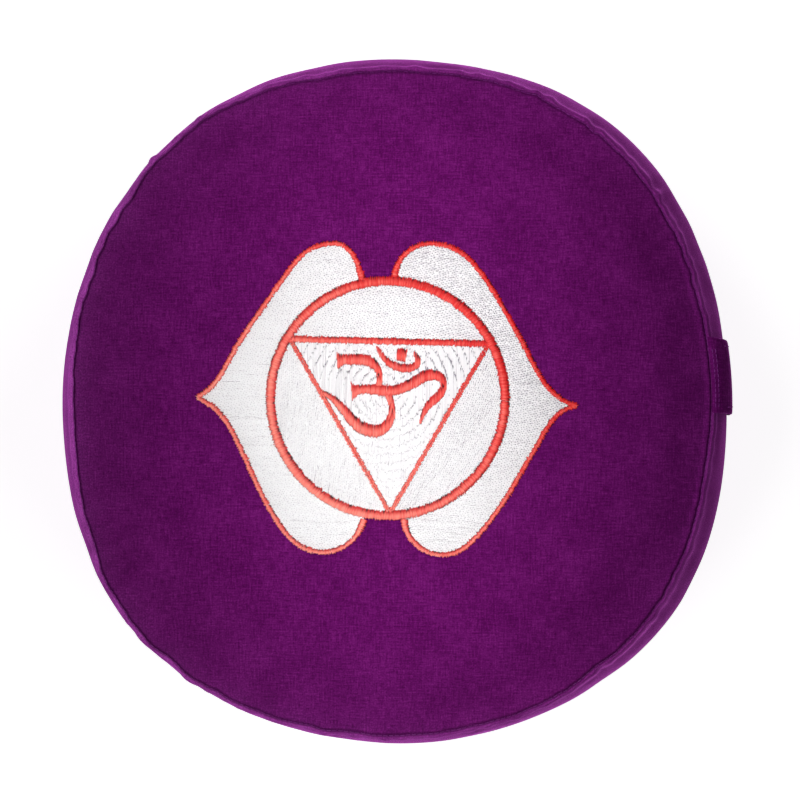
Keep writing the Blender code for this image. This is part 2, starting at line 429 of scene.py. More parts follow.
# The cloth's own grain: on the round panels its threads run along X and Y, and on the band
# one set runs round and the other up, both in metres.
BAND_MIDDLE_RADIUS = 0.180
ROW_PARTS = 4  # subdividing twice made this many rows of each


def lay_grain(obj):
    """A UV map in metres, laid as the cloth was cut."""
    mesh = obj.data
    points = points_of(mesh)
    rows = attribute_of(mesh, "top_row")
    below = attribute_of(mesh, "base_row")
    reach = np.hypot(points[:, 0], points[:, 1])
    steps = np.unique(np.round(rows * ROW_PARTS) / ROW_PARTS)
    rings = [abs(rows - step) < ON_ROW for step in steps]
    places = np.array([(reach[ring].mean(), points[ring, 2].mean()) for ring in rings])
    lengths = np.hypot(*np.diff(places, axis=0).T)
    down = np.interp(rows, steps, np.concatenate([[0.0], np.cumsum(lengths)]))
    corners = np.empty(len(mesh.loops), int)
    mesh.loops.foreach_get("vertex_index", corners)
    starts = np.empty(len(mesh.polygons), int)
    mesh.polygons.foreach_get("loop_start", starts)
    face_of = np.repeat(np.arange(len(starts)), np.diff(np.append(starts, len(corners))))
    angle = angles_of(points)[corners]
    first = angle[starts][face_of]
    angle = first + (angle - first + math.pi) % (2 * math.pi) - math.pi
    on_band = np.ones(len(starts), bool)
    np.logical_and.at(on_band, face_of, (rows[corners] > -ON_ROW) & (below[corners] < ON_ROW))
    grain = np.where(
        on_band[face_of][:, None],
        np.stack([angle * BAND_MIDDLE_RADIUS, -down[corners]], axis=1),
        points[corners, :2],
    )
    mesh.uv_layers.new(name="grain").data.foreach_set("uv", grain.ravel())


lay_grain(cover)

# The seam's rib is painted paler, as painted sheen of the low light that the cotton's fuzz
# catches: most on the left, across from the strap, where the window is, least towards the
# right, and in patches. The cloth on both sides of it has a little of the same painted sheen.
# By degrees round from +X, and by rows of points down from the seam.
SHEEN_ROUND = [
    (-180, 1.6), (-150, 1.1), (-120, 0.9), (-90, 0.55), (-60, 0.3), (-30, 0.4), (0, 0.35),
    (30, 0.35), (60, 0.25), (90, 0.25), (120, 0.7), (150, 1.2), (180, 1.6),
]
SHEEN_DOWN = [
    (-6.0, 0.0), (-3.0, 0.04), (-0.8, 0.14), (0.1, 0.25), (0.6, 0.85), (1.3, 0.75),
    (2.2, 0.45), (4.0, 0.28), (6.5, 0.18), (9.0, 0.08),
]
SHEEN_PATCHES = 0.45
angles = angles_of(points_of(cover.data))
painted_sheen = all_round(angles, SHEEN_ROUND) * np.interp(top_rows, *zip(*SHEEN_DOWN))
painted_sheen *= 1 + SHEEN_PATCHES * gathers(25, 110, angles, seed=3)
set_attribute(cover.data, "painted_sheen", painted_sheen)


# Dyed plain-weave cotton: matt, with uneven threads that show as short light and dark
# streaks both ways, and a fuzz that catches low light. Its threads, really about 28 to the
# centimetre, are drawn 18 to the centimetre, as finer ones wouldn't show.
MILLIMETRES = 1000.0
THREAD_PITCH_MM = 0.55
SLUB_WIDTH_MM = 0.9
SLUB_LENGTH_MM = 7.0
BLOTCH_MM = 24.0
FLECK_MM = 0.9
COTTON_DARK = "440741"
COTTON_MIDDLE = "570e54"
COTTON_LIGHT = "6e1a6a"
# the pale lilac that is mixed into the dye as painted sheen
COTTON_PAINTED_SHEEN = "c556c5"

cotton = bpy.data.materials.new("dyed_plain_weave_cotton")
cotton.use_nodes = True
tree = cotton.node_tree
shader = tree.nodes["Principled BSDF"]
grain = add_node(tree, "UVMap", {"uv_map": "grain"})
in_mm = {"Scale": (MILLIMETRES, MILLIMETRES, 0)}
cloth = add_node(tree, "Mapping", inputs=in_mm, links={"Vector": grain})
streaks = []
for long, wide in ((SLUB_LENGTH_MM, SLUB_WIDTH_MM), (SLUB_WIDTH_MM, SLUB_LENGTH_MM)):
    drawn_out = {"Scale": (1 / long, 1 / wide, 1)}
    along = add_node(tree, "Mapping", inputs=drawn_out, links={"Vector": cloth})
    noise = {"Scale": 1.0, "Detail": 2.0, "Roughness": 0.6}
    streaks.append(add_node(tree, "TexNoise", inputs=noise, links={"Vector": along}))
slubs = add_node(tree, "Math", {"operation": "ADD"}, links={0: streaks[0], 1: streaks[1]})
noise = {"Scale": 1 / FLECK_MM, "Detail": 1.0}
fleck = add_node(tree, "TexNoise", inputs=noise, links={"Vector": cloth})
noise = {"Scale": 1 / BLOTCH_MM, "Detail": 3.0}
blotch = add_node(tree, "TexNoise", inputs=noise, links={"Vector": cloth})
uneven = add_node(tree, "Math", {"operation": "ADD"}, links={0: slubs, 1: fleck})
mottled = add_node(tree, "Math", {"operation": "MULTIPLY_ADD"}, {1: 0.6}, {0: blotch, 2: uneven})
shades = {"From Min": 1.38, "From Max": 2.22}
shade = add_node(tree, "MapRange", inputs=shades, links={"Value": mottled})
dye = add_node(tree, "ValToRGB", links={"Fac": shade})
dye.color_ramp.elements[0].color = linear(COTTON_DARK)
dye.color_ramp.elements[1].color = linear(COTTON_LIGHT)
dye.color_ramp.elements.new(0.5).color = linear(COTTON_MIDDLE)
# Where the attribute says, the dye is mixed towards a pale lilac: painted sheen of the rim's light.
sheen_share = add_node(tree, "Attribute", {"attribute_name": "painted_sheen"}).outputs["Fac"]
patchy_sheen = add_node(tree, "Math", {"operation": "MULTIPLY"}, links={0: sheen_share, 1: fleck})
sheen_colour = {7: linear(COTTON_PAINTED_SHEEN)}
colour = add_node(tree, "Mix", {"data_type": "RGBA"}, sheen_colour, {0: patchy_sheen, 6: dye})
tree.links.new(colour.outputs[2], shader.inputs["Base Color"])
threads = []
for direction in ("X", "Y"):
    pitch = {"Scale": math.pi / (10 * THREAD_PITCH_MM), "Distortion": 0.4}
    thread = add_node(tree, "TexWave", {"bands_direction": direction}, pitch, {"Vector": cloth})
    threads.append(thread.outputs["Fac"])
weave = add_node(tree, "Math", {"operation": "MULTIPLY"}, links={0: threads[0], 1: threads[1]})
relief = add_node(tree, "Math", {"operation": "MULTIPLY_ADD"}, {1: 0.35}, {0: weave, 2: slubs})
bump = add_node(tree, "Bump", (), {"Strength": 0.5, "Distance": 0.00025}, {"Height": relief})
tree.links.new(bump.outputs["Normal"], shader.inputs["Normal"])
cotton_look = {
    "Roughness": 0.7,
    "Specular IOR Level": 0.0,
    "Sheen Weight": 0.65,
    "Sheen Roughness": 0.25,
    "Sheen Tint": (1, 0.2, 1, 1),
}
set_inputs(shader, cotton_look)

cover.data.materials.clear()
cover.data.materials.append(cotton)
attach(cover, "root")
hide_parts("cushion")


# The white filling of the emblem. Machine embroidery in rayon thread, worked through the top
# panel before it was sewn in: level rows in the two petals, and in the disc three segments
# and a triangle, each with rows of its own. The figure is the old two-petalled one of the
# brow, drawn here from a circle, a triangle set in it and free curves. Millimetres.

MM = 0.001
EMBLEM_PLACE = np.array([-0.0052, 0.0015])  # in metres
EMBLEM_TURN = math.radians(-1.3)
RING_RADIUS = 60.8
RING_WIDTH = 5.1
CORNER_RADIUS = 59.4
CORNER_ANGLES = [150.1, 29.6, -87.6]
LINE_STEP = 0.4
CURVE_HANDLE = 0.38  # of the way between two points: about a circle's arc
CURVE_POINTS = 60

# The points of a drawn line, from the middle of the ring, with the way that the line
# arrives there and leaves, in degrees from +X.
LEFT_PETAL = [
    (-14.2, 60.3, 108, 108),
    (-29.6, 79.8, 180, 180),
    (-52.1, 66.3, 236, 236),
    (-77.2, 28.4, 238, 238),
    (-99.2, -1.6, 208, -28),
    (-81.5, -17.2, -60, -60),
    (-58.8, -60.8, -58, -58),
    (-32.5, -80.6, 0, 0),
    (-11.0, -62.9, 78, 78),
]
RIGHT_PETAL = [
    (2.3, 62.7, 92, 92),
    (20.6, 80.8, 0, 0),
    (42.6, 71.0, -47, -47),
    (66.2, 35.7, -58, -58),
    (98.5, -1.6, -12, 190),
    (75.9, -26.5, 240, 240),
    (52.5, -64.9, 232, 232),
    (29.7, -80.6, 180, 180),
    (9.8, -62.4, 95, 95),
]


def heading(degrees):
    return np.array([math.cos(math.radians(degrees)), math.sin(math.radians(degrees))])


def along_line(line):
    """How far along a line each of its points lies."""
    return np.concatenate([[0], np.cumsum(np.linalg.norm(np.diff(line, axis=0), axis=1))])


def points_along(line, places):
    """The points that lie this far along a line, on a plane or in space."""
    lengths = along_line(line)
    return np.stack([np.interp(places, lengths, column) for column in line.T], axis=1)


def drawn_line(turns):
    """Points a step apart along the free curve through the turns."""
    dense = []
    for here, after in zip(turns, turns[1:]):
        start, end = np.array(here[:2]), np.array(after[:2])
        handle = CURVE_HANDLE * np.hypot(*(end - start))
        first = start + handle * heading(here[3])
        second = end - handle * heading(after[2])
        t = np.linspace(0, 1, CURVE_POINTS)[:, None]
        dense.append(
            start * (1 - t) ** 3
            + 3 * first * t * (1 - t) ** 2
            + 3 * second * t * t * (1 - t)
            + end * t**3
        )
    dense = np.concatenate(dense)
    length = along_line(dense)[-1]
    return points_along(dense, np.linspace(0, length, max(2, round(length / LINE_STEP))))


def arc(radius, start, end):
    """Points a step apart round the ring's middle from one angle to another, in degrees."""
    count = max(2, round(abs(math.radians(end - start)) * radius / LINE_STEP))
    angles = np.radians(np.linspace(start, end, count))
    return np.stack([radius * np.cos(angles), radius * np.sin(angles)], axis=1)


# The lie of the cloth under the embroidery, measured once on a close grid, in metres.
GROUND_STEP = 0.002
GROUND_HALF_WIDTH = 0.116
GROUND_HALF_DEPTH = 0.096
DOWN = Vector((0, 0, -1))
INWARDS = Vector((-1, 0, 0))


def tree_of(mesh):
    """A mesh made ready to find where a ray meets it."""
    faces = [tuple(face.vertices) for face in mesh.polygons]
    return BVHTree.FromPolygons([tuple(point) for point in points_of(mesh)], faces)


def met_at(tree, start, way):
    return tree.ray_cast(Vector(start), way)[0]


cover_tree = tree_of(cover.data)
ground_x = np.arange(-GROUND_HALF_WIDTH, GROUND_HALF_WIDTH, GROUND_STEP) + EMBLEM_PLACE[0]
ground_y = np.arange(-GROUND_HALF_DEPTH, GROUND_HALF_DEPTH, GROUND_STEP) + EMBLEM_PLACE[1]
ground = np.array([[met_at(cover_tree, (x, y, 1), DOWN).z for x in ground_x] for y in ground_y])


def on_panel(places):
    """Places of the drawing, in millimetres, as points on the cloth, in metres."""
    cosine, sine = math.cos(EMBLEM_TURN), math.sin(EMBLEM_TURN)
    x = (places[:, 0] * cosine - places[:, 1] * sine) * MM + EMBLEM_PLACE[0]
    y = (places[:, 0] * sine + places[:, 1] * cosine) * MM + EMBLEM_PLACE[1]
    column = (x - ground_x[0]) / GROUND_STEP
    row = (y - ground_y[0]) / GROUND_STEP
    left = np.clip(column.astype(int), 0, len(ground_x) - 2)
    low = np.clip(row.astype(int), 0, len(ground_y) - 2)

    def height_in(row):
        return ground[row, left] + (ground[row, left + 1] - ground[row, left]) * (column - left)

    near_side = height_in(low)
    return np.stack([x, y, near_side + (height_in(low + 1) - near_side) * (row - low)], axis=1)


def one_stitch(name, sides, cuts, end_size):
    """A stitch to copy: 1 long from 0 along X, 1 wide, 1 high from 0, its ends drawn in."""
    bpy.ops.object.select_all(action="DESELECT")
    bpy.ops.mesh.primitive_cylinder_add(
        vertices=sides, radius=0.5, depth=1.0, location=(0.5, 0, 0), rotation=(0, math.pi / 2, 0)
    )
    stitch = bpy.context.object
    stitch.name = name
    bpy.ops.object.transform_apply(location=True, rotation=True, scale=True)
    bpy.ops.object.mode_set(mode="EDIT")
    for place in cuts:
        bpy.ops.mesh.select_all(action="SELECT")
        bpy.ops.mesh.bisect(plane_co=(place, 0, 0), plane_no=(1, 0, 0))
    bpy.ops.object.mode_set(mode="OBJECT")
    points = points_of(stitch.data)
    points[:, 2] -= points[:, 2].min()
    points[:, 2] /= points[:, 2].max()
    at_end = (points[:, 0] < 0.001) | (points[:, 0] > 0.999)
    points[at_end, 1:] *= end_size
    move_points(stitch.data, points)
    return stitch


PLY_TWIST_MM = 0.9
# The painted shade on the stitches: deeper towards the emblem's upper right, away from the light,
# over this span, reaching further at each stitch's end that points that way, and a painted shadow in
# some needle holes.
SHADE_SPAN = 0.16
SHADE_PLACE_SHARE = 0.6
AWAY_FROM_LIGHT = np.array([0.55, 0.83, 0.0])  # away from the light: each stitch's end on this side is painted darker, as painted shade
END_SHADE_LEAN = 0.75
SHADOWED_HOLES = 0.3

# Stitches from needle hole to needle hole, in metres, with the way up from the cloth, their
# width, and in millimetres how high the middle arches and how high all of it lies.
Stitches = namedtuple("Stitches", "starts ends ups width arch lift")


def laid_stitches(starts, ends, ups, width, arch, lift):
    """Stitches of which all may have the same way up, width, arch or lift."""
    count = len(starts)
    sizes = [np.broadcast_to(size, count) for size in (width, arch, lift)]
    return Stitches(starts, ends, np.broadcast_to(ups, (count, 3)), *sizes)


def on_cloth(starts, ends, width, arch, lift):
    """Stitches of the drawing, given in millimetres, laid on the top panel."""
    return laid_stitches(on_panel(starts), on_panel(ends), (0.0, 0.0, 1.0), width, arch, lift)


def sew(name, stitch, batches, height, fullness):
    """One mesh of copies of a stitch. A fuller stitch stands up nearer to its needle holes."""
    sewn = Stitches(*(np.concatenate(parts) for parts in zip(*batches)))
    pattern = points_of(stitch.data)
    count, size = len(sewn.starts), len(pattern)
    along = sewn.ends - sewn.starts
    length = np.linalg.norm(along, axis=1)
    side = np.cross(sewn.ups, along)
    side /= np.linalg.norm(side, axis=1)[:, None]
    bow = 1 - abs(2 * pattern[:, 0] - 1) ** fullness
    rise = sewn.arch[:, None] * bow + pattern[:, 2] * height + sewn.lift[:, None]
    points = sewn.starts[:, None] + along[:, None] * pattern[None, :, :1]
    points += side[:, None] * (sewn.width[:, None] * pattern[:, 1] * MM)[..., None]
    points += sewn.ups[:, None] * (rise * MM)[..., None]
    sizes = [len(face.vertices) for face in stitch.data.polygons]
    corners = np.concatenate([np.array(face.vertices) for face in stitch.data.polygons])
    firsts = np.concatenate([[0], np.cumsum(sizes)[:-1]])
    copies = np.arange(count)[:, None]
    mesh = bpy.data.meshes.new(name)
    mesh.vertices.add(count * size)
    mesh.vertices.foreach_set("co", points.ravel())
    mesh.loops.add(count * len(corners))
    mesh.loops.foreach_set("vertex_index", (corners + copies * size).ravel())
    mesh.polygons.add(count * len(sizes))
    mesh.polygons.foreach_set("loop_start", (firsts + copies * len(corners)).ravel())
    mesh.update(calc_edges=True)

    # What the thread's material reads: how far from a needle hole, counted shorter at a stitch's
    # end that points away from the light so that painted shade reaches further there, how far
    # round the twist, how deep in painted shade the stitch lies, and whether its needle holes
    # get a painted shadow.
    strand = np.empty((count, size, 3), np.float32)
    end_lean = END_SHADE_LEAN * (along @ AWAY_FROM_LIGHT / length)[:, None]
    from_start = 2 * pattern[:, 0] / (1 - end_lean)
    from_end = 2 * (1 - pattern[:, 0]) / (1 + end_lean)
    strand[..., 0] = np.minimum(1, np.minimum(from_start, from_end))
    strand[..., 1] = length[:, None] / MM * pattern[:, 0] / PLY_TWIST_MM + pattern[:, 1]
    towards_shade = 0.5 + (sewn.starts[:, 0] + sewn.starts[:, 1]) / SHADE_SPAN
    painted_shade_share = rng.random(count) * (1 - SHADE_PLACE_SHARE) + towards_shade.clip(0, 1) * SHADE_PLACE_SHARE
    strand[..., 2] = painted_shade_share[:, None]
    strands = mesh.attributes.new("strand", "FLOAT_VECTOR", "POINT")
    strands.data.foreach_set("vector", strand.ravel())
    set_attribute(mesh, "shadowed_hole", np.repeat((rng.random(count) < SHADOWED_HOLES) * 1.0, size))
    mesh.shade_smooth()
    obj = bpy.data.objects.new(name, mesh)
    scene.collection.objects.link(obj)
    return obj


SHORTEST_STITCH = 0.5
EDGE_SHAKE = 0.2  # how ragged the rows' ends are
ROW_SHAKE = 0.03
PITCH_SHARES = (0.88, 1.12)
CLEAR_OF_EDGE = 1.0
WAVER_ALONG = 7
WAVER_ACROSS = 19
BRICK_SHIFT = 0.37
BRICK_SHAKE = 0.3
RING_COUNT = 25
RING_SHAKE = 0.9
HOLES_APART = 1.6


def shaken(place, shake):
    return place + rng.uniform(-shake, shake)


def fill_rows(outline, direction, pitch, breaks, waver=0.0, overlap=0.0):
    """Starts and ends of the stitches that fill an outline, in rows that run in one
    direction, in degrees. breaks gives the needle holes along a row."""
    axes = np.array([heading(direction), heading(direction)[::-1] * [-1, 1]])
    here = outline @ axes.T
    ahead = np.roll(here, -1, axis=0)
    runs = []
    level = here[:, 1].min() + pitch / 2
    row = 0
    while level < here[:, 1].max():
        crossing = (here[:, 1] <= level) != (ahead[:, 1] <= level)
        low, high = here[crossing], ahead[crossing]
        share = (level - low[:, 1]) / (high[:, 1] - low[:, 1])
        hits = np.sort(low[:, 0] + share * (high[:, 0] - low[:, 0]))
        for left, right in zip(hits[::2], hits[1::2]):
            inside = [
                hole
                for hole in breaks(row, level, left, right)
                if left + CLEAR_OF_EDGE < hole < right - CLEAR_OF_EDGE
            ]
            holes = [shaken(left, EDGE_SHAKE), *sorted(inside), shaken(right, EDGE_SHAKE)]
            for first, last in zip(holes, holes[1:]):
                if last - first > SHORTEST_STITCH:
                    first_level = level + rng.normal(0, ROW_SHAKE)
                    runs.append((first, first_level, last, level + rng.normal(0, ROW_SHAKE)))
        level += pitch * rng.uniform(*PITCH_SHARES)
        row += 1
    runs = np.array(runs)
    runs[:, 0] -= overlap / 2
    runs[:, 2] += overlap / 2
    for at in (0, 2):
        runs[:, at + 1] += waver * np.sin(runs[:, at] / WAVER_ALONG + runs[:, at + 1] / WAVER_ACROSS)
    return runs[:, :2] @ axes, runs[:, 2:] @ axes


def brick_holes(length):
    """Needle holes a stitch apart, each row a good third of a stitch on from the last."""

    def holes(row, level, left, right):
        start = math.floor(left / length) * length + (row * BRICK_SHIFT * length) % length - length
        places = np.arange(start, right + length, length)
        return places + rng.normal(0, BRICK_SHAKE, len(places))

    return holes


def ringed_holes(length, centre):
    """Needle holes that lie in rings round the sign, as they do in the triangle."""

    def holes(row, level, left, right):
        radii = np.arange(1, RING_COUNT + 1) * length
        radii = radii[radii > abs(level - centre[1])]
        depths = np.sqrt(radii**2 - (level - centre[1]) ** 2)
        places = np.sort(centre[0] + np.concatenate([-depths, depths]))
        places = places + rng.normal(0, RING_SHAKE, len(places))
        return places[np.diff(places, prepend=-999) > HOLES_APART]

    return holes


# Rayon thread: two soft plies twisted, glossy, painted greyer where it dives to its needle
# hole, as painted shade in the dip. Each stitch has a tone of its own, and some lie in deeper
# painted shade that reaches further from the holes, more of them towards the emblem's upper
# right, away from the light.
WHITE_RAYON = "fbfafb"
WHITE_RAYON_PAINTED_SHADE = "f0ecef"
WHITE_RAYON_HOLE_SHADE = "9e98a4"


def spun_thread(name, colour, shade, hole, hole_reach, gloss, hole_shadow_colour=None):
    """Twisted thread. hole_reach is how much of each half of a stitch is painted darker towards
    its needle hole, as painted shade, from the stitches least in painted shade to those most.
    hole_shadow_colour is a painted shadow in some needle holes, if any."""
    material = bpy.data.materials.new(name)
    material.use_nodes = True
    tree = material.node_tree
    shader = tree.nodes["Principled BSDF"]
    strand = add_node(tree, "Attribute", {"attribute_name": "strand"}).outputs["Vector"]
    from_hole, round_twist, painted_shade_share = add_node(tree, "SeparateXYZ", links={"Vector": strand}).outputs
    # Each stitch is mixed from its colour towards the painted shade by how deep in painted shade it
    # lies; towards its needle holes it is painted darker still, and some holes get a painted shadow.
    shades = {6: linear(colour), 7: linear(shade)}
    tone_and_painted_shade = add_node(tree, "Mix", {"data_type": "RGBA"}, shades, {0: painted_shade_share}).outputs[2]
    shade_reach_share = add_node(tree, "Math", {"operation": "POWER"}, {1: 2.5}, {0: painted_shade_share})
    reaches = {"To Min": hole_reach[0], "To Max": hole_reach[1]}
    own_reach = add_node(tree, "MapRange", inputs=reaches, links={"Value": shade_reach_share})
    clear = add_node(tree, "MapRange", smooth, links={"Value": from_hole, "From Max": own_reach})
    hole_shade_colour = {6: linear(hole)}
    hole_shade = add_node(tree, "Mix", {"data_type": "RGBA"}, hole_shade_colour, {0: clear, 7: tone_and_painted_shade})
    seen_colour = hole_shade.outputs[2]
    if hole_shadow_colour:
        shadowed_hole = add_node(tree, "Attribute", {"attribute_name": "shadowed_hole"}).outputs["Fac"]
        fading = {"From Min": 0.12, "From Max": 0.45, "To Min": 1.0, "To Max": 0.0}
        at_hole = add_node(tree, "MapRange", inputs=fading, links={"Value": from_hole})
        share = add_node(tree, "Math", {"operation": "MULTIPLY"}, links={0: shadowed_hole, 1: at_hole})
        hole_shadow = {7: linear(hole_shadow_colour)}
        whole = add_node(tree, "Mix", {"data_type": "RGBA"}, hole_shadow, {0: share, 6: seen_colour})
        seen_colour = whole.outputs[2]
    tree.links.new(seen_colour, shader.inputs["Base Color"])
    twist = add_node(tree, "Math", {"operation": "PINGPONG"}, {1: 0.5}, {0: round_twist})
    bump = add_node(tree, "Bump", (), {"Strength": 0.35, "Distance": 0.00008}, {"Height": twist})
    tree.links.new(bump.outputs["Normal"], shader.inputs["Normal"])
    set_inputs(shader, {"Roughness": 0.38, "Specular IOR Level": gloss})
    return material


def finish_sewing(obj, material):
    obj.data.materials.append(material)
    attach(obj, "root")


rng = np.random.default_rng(7)
left_line = drawn_line(LEFT_PETAL)
right_line = drawn_line(RIGHT_PETAL)
triangle = np.array([arc(CORNER_RADIUS, angle, angle + 1)[0] for angle in CORNER_ANGLES])
left_corner, right_corner, low_corner = CORNER_ANGLES
fill_radius = RING_RADIUS - RING_WIDTH / 4
left_petal = np.concatenate([left_line, arc(RING_RADIUS, 261, 102)])
right_petal = np.concatenate([right_line, arc(RING_RADIUS, -80, 87)])
top_segment = arc(fill_radius, right_corner, left_corner)
left_segment = arc(fill_radius, left_corner, low_corner + 360)
right_segment = arc(fill_radius, low_corner, right_corner)
petal_rows = [
    fill_rows(left_petal, direction=1.0, pitch=0.42, breaks=brick_holes(4.2), waver=0.5),
    fill_rows(right_petal, direction=-2.0, pitch=0.44, breaks=brick_holes(3.8), waver=0.5),
]
rings_round_sign = ringed_holes(length=4.2, centre=(4.0, 2.0))
disc_rows = [
    fill_rows(top_segment, direction=0.0, pitch=0.43, breaks=brick_holes(4.6), waver=0.3),
    fill_rows(left_segment, direction=78.0, pitch=0.42, breaks=brick_holes(3.8), waver=0.4),
    fill_rows(right_segment, direction=52.0, pitch=0.45, breaks=brick_holes(3.2), waver=0.4),
    fill_rows(triangle, direction=90.0, pitch=0.42, breaks=rings_round_sign, waver=0.2, overlap=0.1),
]
fill_stitch = one_stitch("fill_stitch", sides=3, cuts=(0.12, 0.88), end_size=0.85)
white_rayon = spun_thread(
    "white_rayon_thread", WHITE_RAYON, WHITE_RAYON_PAINTED_SHADE, WHITE_RAYON_HOLE_SHADE, (0.04, 0.42), gloss=0.5
)
for name, rows in (("petal_filling", petal_rows), ("disc_filling", disc_rows)):
    batches = []
    for starts, ends in rows:
        widths = rng.uniform(0.56, 0.72, len(starts))
        lifts = rng.uniform(-0.04, 0.02, len(starts))
        batches.append(on_cloth(starts, ends, widths, 0.08, lifts))
    filling = sew(name, fill_stitch, batches, height=0.16, fullness=6)
    finish_sewing(filling, white_rayon)
bpy.data.objects.remove(fill_stitch)


# The red satin edges. Close stitches laid side by side across every line of the drawing,
# over the ends of the white rows: the petals' edges, the ring and the triangle's sides.

SATIN_PITCH = 0.46
SATIN_HEIGHT = 0.36
SATIN_SLANT = 0.15
SATIN_RAGGED = 0.26
PETAL_EDGE_WIDTH = 2.8
PETAL_FOOT_WIDTH = 4.1  # where a petal's edge runs in under the ring
PETAL_FOOT_LENGTH = 12.0
TRIANGLE_TOP_WIDTH = 3.5
TRIANGLE_STRAND_WIDTH = 1.35
TRIANGLE_STRAND_ASIDE = 0.5
# The red is painted salmon, a painted highlight, on stitches towards the lower left, where the light
# comes from. It is painted deep red, as painted shade, towards the upper right and at the needle
# holes, and some holes get a near-black painted shadow.
RED_RAYON_PAINTED_HIGHLIGHT = "ffa392"
RED_RAYON_PAINTED_SHADE = "ec0c16"
RED_RAYON_HOLE_SHADE = "c8000e"
RED_RAYON_HOLE_SHADOW = "14000a"


def satin(line, width, arch, lift, foot_width=None):
    """Stitches laid side by side across a drawn line, wider at its two feet if it has them."""
    length = along_line(line)[-1]
    places = np.arange(SATIN_PITCH / 2, length, SATIN_PITCH)
    from_foot = np.minimum(places, length - places)
    widening = (foot_width or width) - width
    width = width + widening * ease(1 - from_foot / PETAL_FOOT_LENGTH)
    way = points_along(line, places + 0.5) - points_along(line, places - 0.5)
    way /= np.linalg.norm(way, axis=1)[:, None]
    out = np.stack([-way[:, 1], way[:, 0]], axis=1)
    near = width / 2 + rng.normal(0, SATIN_RAGGED, len(places))
    far = width / 2 + rng.normal(0, SATIN_RAGGED, len(places))
    middle = points_along(line, places)
    starts = middle + out * near[:, None] + way * SATIN_SLANT
    ends = middle - out * far[:, None] - way * SATIN_SLANT
    return on_cloth(starts, ends, rng.uniform(0.44, 0.58, len(places)), arch, lift)


def strand_beside(start, end, aside):
    """A straight line beside the one from start to end."""
    way = (end - start) / np.linalg.norm(end - start)
    offset = np.array([-way[1], way[0]]) * aside
    return np.linspace(start + offset, end + offset, 200)


top_left, top_right, bottom = triangle
top_side = strand_beside(top_left, top_right, aside=0)
edges = [
    satin(top_side, TRIANGLE_TOP_WIDTH, arch=0.5, lift=0.12),
    satin(left_line, PETAL_EDGE_WIDTH, arch=0.5, lift=0.05, foot_width=PETAL_FOOT_WIDTH),
    satin(right_line, PETAL_EDGE_WIDTH, arch=0.5, lift=0.05, foot_width=PETAL_FOOT_WIDTH),
    satin(arc(RING_RADIUS, 0, 360), RING_WIDTH, arch=0.7, lift=0.2),
]
for start, end in ((top_left, bottom), (bottom, top_right)):
    for aside in (-TRIANGLE_STRAND_ASIDE, TRIANGLE_STRAND_ASIDE):
        strand = strand_beside(start, end, aside)
        edges.append(satin(strand, TRIANGLE_STRAND_WIDTH, arch=0.35, lift=0.12))
red_rayon = spun_thread(
    "red_rayon_thread", RED_RAYON_PAINTED_HIGHLIGHT, RED_RAYON_PAINTED_SHADE, RED_RAYON_HOLE_SHADE, (0.9, 1.6), 0.4, RED_RAYON_HOLE_SHADOW
)
satin_stitch = one_stitch("satin_stitch", sides=4, cuts=(0.12, 0.38, 0.62, 0.88), end_size=0.55)
satin_edges = sew("satin_edges", satin_stitch, edges, SATIN_HEIGHT, fullness=3)
finish_sewing(satin_edges, red_rayon)


# The sign in the triangle. Red satin again, but all its stitches run up and down: each
# stroke is a line that swells and thins, filled with upright stitches.

SIGN_PITCH = 0.42
LONGEST_SATIN = 9.5
SATIN_OVERLAP = 0.6  # where a long stitch is broken
BREAK_SHAKE = 1.2
SIGN_RAGGED = 0.24
SIGN_SPREAD = 0.25  # each stroke comes out this much fuller than it was drawn
SIGN_ROUNDING = 0.9
SIGN_ARCH_SHARE = 0.16  # of a stitch's length
SIGN_ARCHES = (0.2, 0.8)
